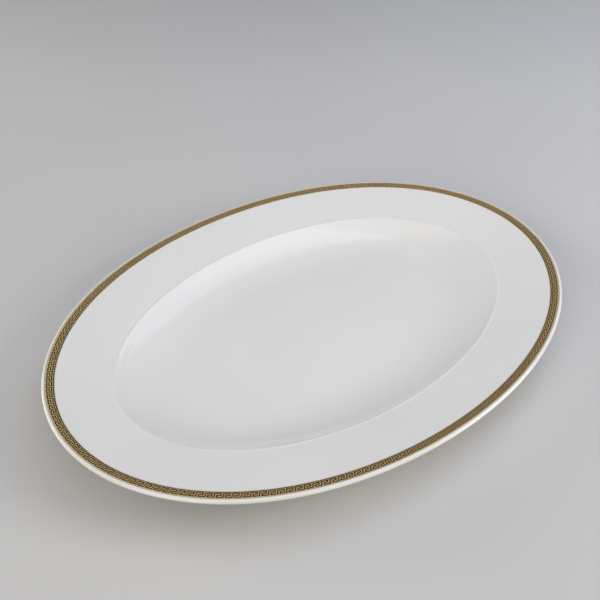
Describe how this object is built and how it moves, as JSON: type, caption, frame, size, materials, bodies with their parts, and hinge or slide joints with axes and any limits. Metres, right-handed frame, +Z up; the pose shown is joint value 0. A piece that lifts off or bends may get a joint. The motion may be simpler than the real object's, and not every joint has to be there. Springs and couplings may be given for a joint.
{
  "type": "serving platter",
  "caption": "Oval white porcelain serving platter with a wide rim, a shallow well and a fired-on gold key border, for serving food.",
  "frame": {"origin": "centre of the plane that the foot ring stands on", "axes": "+X along the platter's length, +Y across it, +Z up"},
  "size_m": [0.38, 0.277, 0.0276],
  "materials": {
    "bisque_porcelain": "matte unglazed fired clay",
    "white_glaze": "gloss white glaze",
    "bright_gold": "burnished fired gold",
    "matte_gold": "satin fired gold",
    "brown_enamel": "satin brown enamel"
  },
  "bodies": {
    "root": {"porcelain_body": "bisque_porcelain", "main_glaze": "white_glaze", "foot_well_glaze": "white_glaze", "outer_gold_line": "bright_gold", "key_ground": "matte_gold", "key_border": "brown_enamel", "inner_gold_line": "bright_gold", "brown_hairline": "brown_enamel", "gold_edge_line": "bright_gold"}
  },
  "joints": []
}
